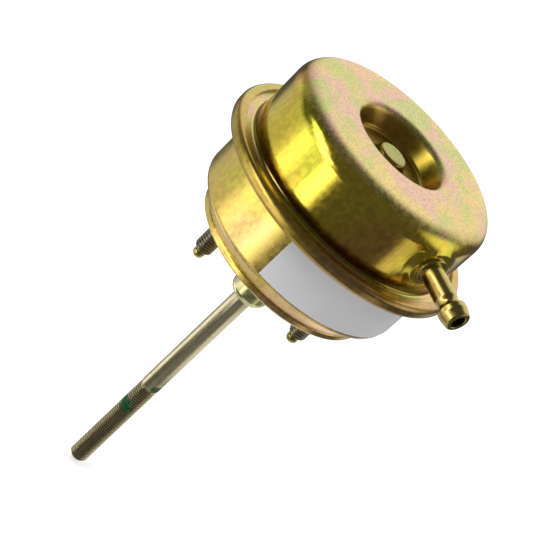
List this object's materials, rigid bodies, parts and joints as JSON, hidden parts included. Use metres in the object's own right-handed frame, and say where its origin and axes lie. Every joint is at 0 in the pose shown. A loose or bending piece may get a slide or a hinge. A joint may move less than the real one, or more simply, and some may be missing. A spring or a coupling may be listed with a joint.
{
  "type": "turbo wastegate actuator",
  "caption": "Round pressed-can pneumatic actuator with a crimped rim, dished cover, side hose nipple, mounting studs and a sliding threaded rod.",
  "frame": {"origin": "centre of the stud circle on the mounting face, the underside of the base plate", "axes": "+Z along the rod axis towards the dished cover, so the rod points along -Z; the studs lie on the X axis; the hose nipple points out at 44.5 degrees from +X towards -Y"},
  "size_m": [0.0836, 0.0836, 0.155],
  "materials": {
    "yellow_zinc": "yellow chromated zinc plate on pressed steel, glossy walls",
    "nipple_zinc": "turned brass-coloured plating, glossy",
    "guide_zinc": "pale bright zinc",
    "stud_steel": "dark plated steel with gold dog points",
    "rod_steel": "ground bar, nickel grey",
    "label_film": "pale grey film, bare",
    "spring_steel": "oiled spring wire",
    "rubber": "fabric-reinforced silicone rubber",
    "bush_bronze": "sintered bronze",
    "felt": "dense felt",
    "bright_zinc": "clear zinc on pressed steel"
  },
  "bodies": {
    "housing": {"upper_can": "yellow_zinc", "lower_can": "yellow_zinc", "base_plate": "yellow_zinc", "mounting_stud_left": "stud_steel", "mounting_stud_right": "stud_steel", "guide_boss": "guide_zinc", "rod_wiper": "felt", "guide_bush": "bush_bronze", "bush_retainer": "bright_zinc", "hose_nipple": "nipple_zinc", "label": "label_film", "spring_seat": "bright_zinc", "main_spring": "spring_steel", "diaphragm": "rubber"},
    "rod": {"actuator_rod": "rod_steel", "rod_washer": "bright_zinc", "piston_cup": "bright_zinc", "diaphragm_plate": "bright_zinc"}
  },
  "joints": [
    {"name": "rod_stroke", "type": "slide", "parent": "housing", "child": "rod", "axis": [0, 0, -1], "range_m": [0, 0.012], "stiffness_N_per_m": 2370, "springref_m": -0.04, "deforming": ["main_spring", "diaphragm"]}
  ]
}
